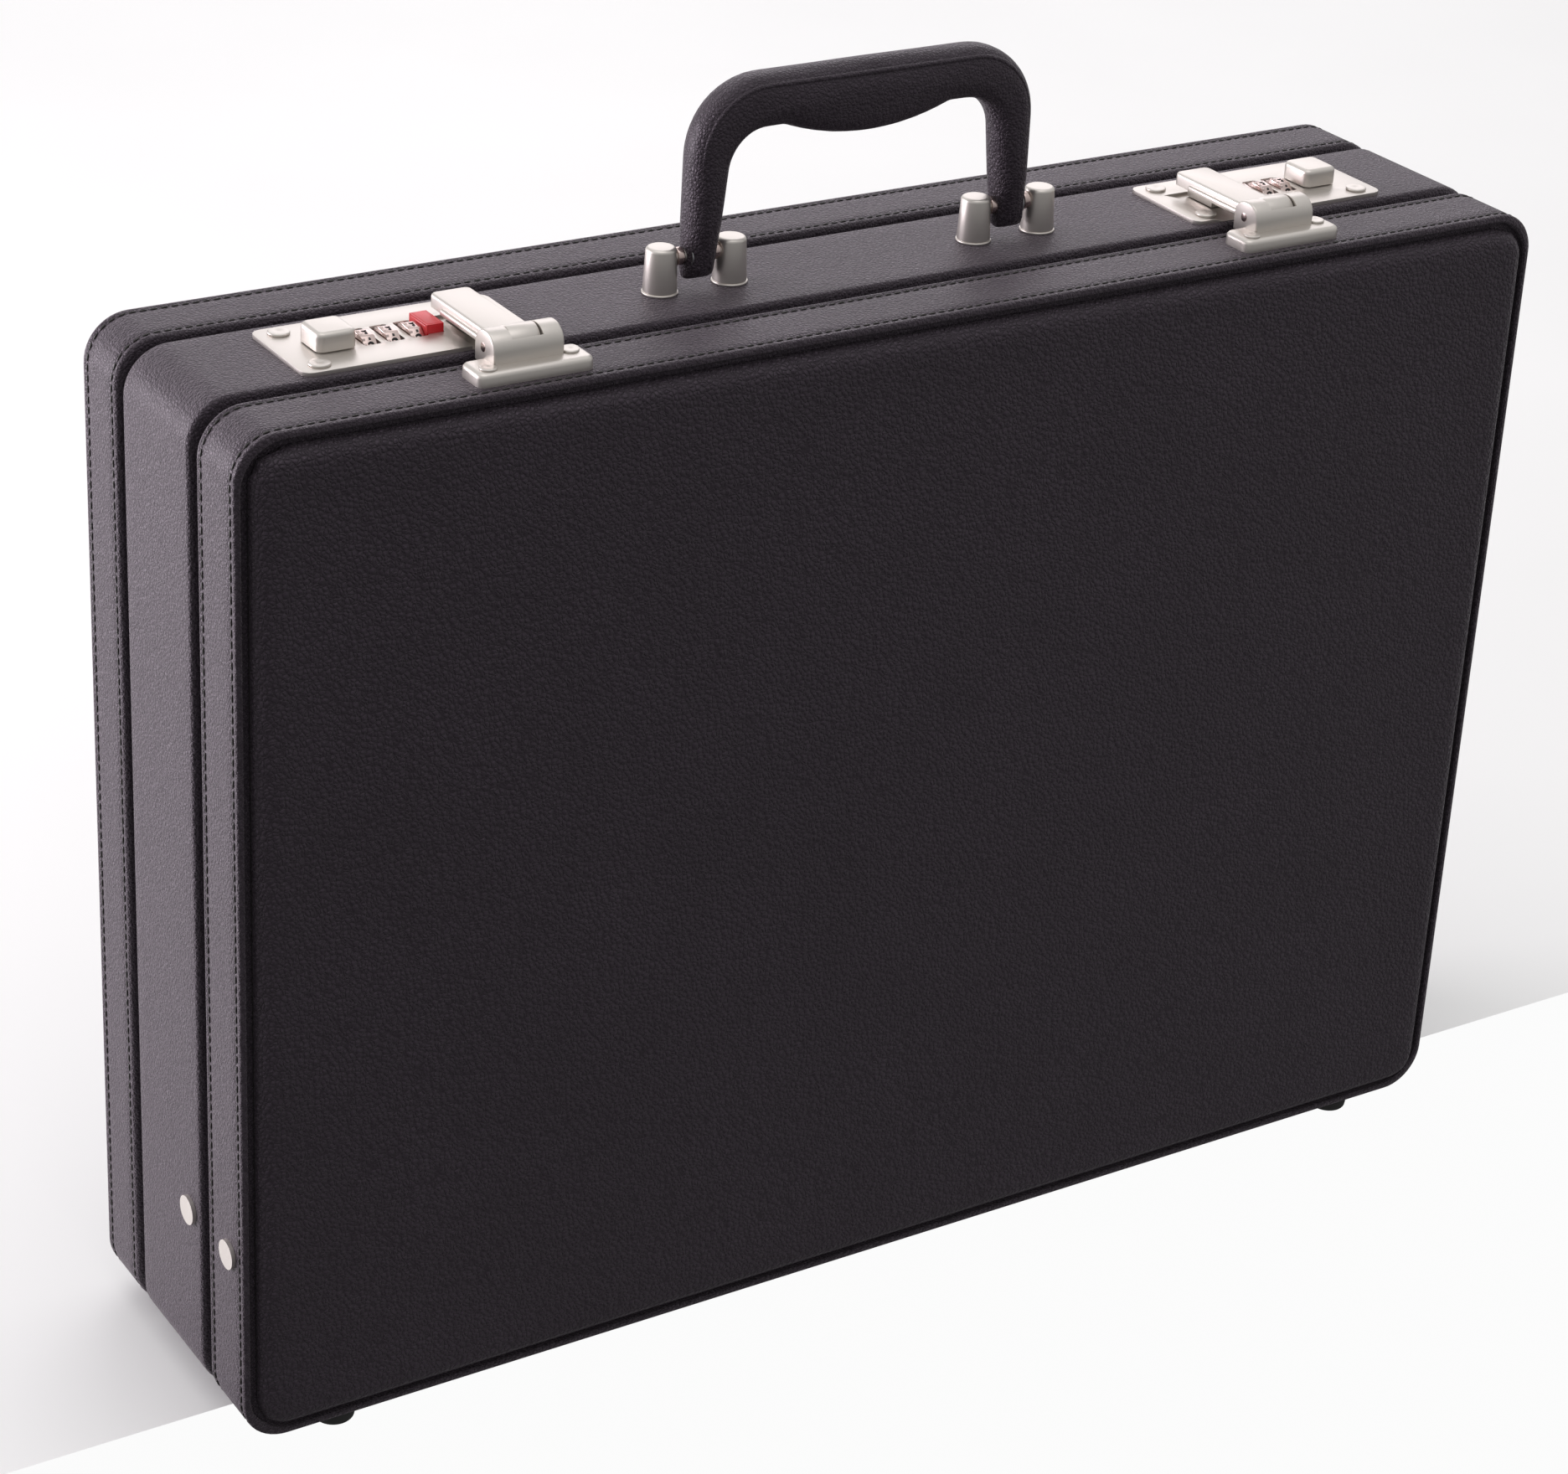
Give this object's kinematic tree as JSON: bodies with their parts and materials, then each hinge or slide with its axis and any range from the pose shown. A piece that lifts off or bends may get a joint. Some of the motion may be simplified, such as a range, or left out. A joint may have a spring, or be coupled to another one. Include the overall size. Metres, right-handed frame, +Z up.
{
  "type": "attache briefcase",
  "caption": "Rigid leather-covered attache case that carries papers, with a hinged lid, combination latches, folding handle and a rear section that slides out for more room.",
  "frame": {"origin": "on the floor, under the middle of the case's bounding box, between the four feet", "axes": "+Z up, from the hinge edge to the handle; -Y is the side the lid faces; +X to the right seen from the lid"},
  "size_m": [0.4594, 0.11, 0.396],
  "materials": {
    "black_leather": "pebble-grained, semi-matt",
    "frame_board": "raw fibreboard",
    "black_plastic": "fine grained, matt",
    "lining_fabric": "woven",
    "satin_nickel": "satin nickel plate",
    "bright_nickel": "polished nickel, engraved numbers",
    "spring_steel": "zinc plated",
    "red_plastic": "moulded, semi-gloss",
    "foot_rubber": "matt"
  },
  "bodies": {
    "case_body": {"band_frame": "frame_board", "band_leather": "black_leather", "parting_tongue": "black_plastic", "hinge_leaf_band": "satin_nickel", "hinge_pin": "satin_nickel", "hinge_rivets_band": "satin_nickel", "band_feet": "foot_rubber", "band_stay_rivets": "satin_nickel", "lock_plate_right": "satin_nickel", "lock_plate_left": "satin_nickel", "lock_plate_rivets": "satin_nickel", "lock_body_right": "red_plastic", "lock_body_left": "red_plastic", "dial_axle_right": "spring_steel", "dial_axle_left": "spring_steel", "handle_posts": "satin_nickel", "handle_pins": "satin_nickel", "handle_backing_plates": "spring_steel"},
    "lid": {"lid_frame": "frame_board", "lid_leather": "black_leather", "lid_board": "frame_board", "front_pad": "black_leather", "lid_lining": "lining_fabric", "hinge_leaf_lid": "satin_nickel", "hinge_rivets_lid": "satin_nickel", "lid_feet": "foot_rubber", "lid_stay_rivets": "satin_nickel", "hasp_base_right": "satin_nickel", "hasp_base_left": "satin_nickel", "hasp_pins": "satin_nickel", "hasp_rivets": "satin_nickel", "organiser_panel": "lining_fabric", "file_pocket": "lining_fabric", "card_pockets": "lining_fabric", "pen_loops": "lining_fabric"},
    "rear_section": {"rear_frame": "frame_board", "rear_leather": "black_leather", "rear_board": "frame_board", "rear_pad": "black_leather", "rear_lining": "lining_fabric", "expander_sleeve": "black_plastic", "guide_studs": "black_plastic"},
    "handle": {"handle_grip": "black_leather", "handle_core": "spring_steel"},
    "hasp_right": {"hasp_arm_right": "satin_nickel"},
    "release_right": {"button_right": "satin_nickel", "lock_bolt_right": "spring_steel"},
    "number_wheel_1_right": {"dial_1_right": "bright_nickel"},
    "number_wheel_2_right": {"dial_2_right": "bright_nickel"},
    "number_wheel_3_right": {"dial_3_right": "bright_nickel"},
    "lower_stay_right": {"stay_lower_arm_right": "spring_steel"},
    "upper_stay_right": {"stay_upper_arm_right": "spring_steel"},
    "hasp_left": {"hasp_arm_left": "satin_nickel"},
    "release_left": {"button_left": "satin_nickel", "lock_bolt_left": "spring_steel"},
    "number_wheel_1_left": {"dial_1_left": "bright_nickel"},
    "number_wheel_2_left": {"dial_2_left": "bright_nickel"},
    "number_wheel_3_left": {"dial_3_left": "bright_nickel"},
    "lower_stay_left": {"stay_lower_arm_left": "spring_steel"},
    "upper_stay_left": {"stay_upper_arm_left": "spring_steel"}
  },
  "joints": [
    {"name": "lid_hinge", "type": "hinge", "parent": "case_body", "child": "lid", "pos_m": [0, -0.024, 0.0036], "axis": [1, 0, 0], "range_deg": [0, 95]},
    {"name": "expander_slide", "type": "slide", "parent": "case_body", "child": "rear_section", "axis": [0, 1, 0], "range_m": [0, 0.02]},
    {"name": "handle_pivot", "type": "hinge", "parent": "case_body", "child": "handle", "pos_m": [0, -0.0005, 0.3426], "axis": [1, 0, 0], "range_deg": [-88, 88]},
    {"name": "hasp_pivot_right", "type": "hinge", "parent": "lid", "child": "hasp_right", "pos_m": [0.1336, -0.0345, 0.3392], "axis": [1, 0, 0], "range_deg": [0, 100]},
    {"name": "release_slide_right", "type": "slide", "parent": "case_body", "child": "release_right", "axis": [1, 0, 0], "range_m": [0, 0.004], "stiffness_N_per_m": 400, "springref_m": -0.003},
    {"name": "wheel_spin_1_right", "type": "hinge", "parent": "case_body", "child": "number_wheel_1_right", "pos_m": [0.1495, 0.0005, 0.3286], "axis": [1, 0, 0], "continuous": true},
    {"name": "wheel_spin_2_right", "type": "hinge", "parent": "case_body", "child": "number_wheel_2_right", "pos_m": [0.157, 0.0005, 0.3286], "axis": [1, 0, 0], "continuous": true},
    {"name": "wheel_spin_3_right", "type": "hinge", "parent": "case_body", "child": "number_wheel_3_right", "pos_m": [0.1645, 0.0005, 0.3286], "axis": [1, 0, 0], "continuous": true},
    {"name": "hasp_pivot_left", "type": "hinge", "parent": "lid", "child": "hasp_left", "pos_m": [-0.1336, -0.0345, 0.3392], "axis": [1, 0, 0], "range_deg": [0, 100]},
    {"name": "release_slide_left", "type": "slide", "parent": "case_body", "child": "release_left", "axis": [-1, 0, 0], "range_m": [0, 0.004], "stiffness_N_per_m": 400, "springref_m": -0.003},
    {"name": "wheel_spin_1_left", "type": "hinge", "parent": "case_body", "child": "number_wheel_1_left", "pos_m": [-0.1495, 0.0005, 0.3286], "axis": [1, 0, 0], "continuous": true},
    {"name": "wheel_spin_2_left", "type": "hinge", "parent": "case_body", "child": "number_wheel_2_left", "pos_m": [-0.157, 0.0005, 0.3286], "axis": [1, 0, 0], "continuous": true},
    {"name": "wheel_spin_3_left", "type": "hinge", "parent": "case_body", "child": "number_wheel_3_left", "pos_m": [-0.1645, 0.0005, 0.3286], "axis": [1, 0, 0], "continuous": true},
    {"name": "stay_lower_pivot_right", "type": "hinge", "parent": "case_body", "child": "lower_stay_right", "pos_m": [0.2189, -0.0135, 0.0676], "axis": [1, 0, 0], "range_deg": [0, 95]},
    {"name": "stay_upper_pivot_right", "type": "hinge", "parent": "lid", "child": "upper_stay_right", "pos_m": [0.2167, -0.0416, 0.0685], "axis": [1, 0, 0], "range_deg": [-95, 0]},
    {"name": "stay_lower_pivot_left", "type": "hinge", "parent": "case_body", "child": "lower_stay_left", "pos_m": [-0.2189, -0.0135, 0.0676], "axis": [1, 0, 0], "range_deg": [0, 95]},
    {"name": "stay_upper_pivot_left", "type": "hinge", "parent": "lid", "child": "upper_stay_left", "pos_m": [-0.2167, -0.0416, 0.0685], "axis": [1, 0, 0], "range_deg": [-95, 0]}
  ],
  "couplings": [
    {"joint": "stay_lower_pivot_right", "follows": "lid_hinge", "ratio": 1},
    {"joint": "stay_upper_pivot_right", "follows": "lid_hinge", "ratio": -1},
    {"joint": "stay_lower_pivot_left", "follows": "lid_hinge", "ratio": 1},
    {"joint": "stay_upper_pivot_left", "follows": "lid_hinge", "ratio": -1}
  ]
}
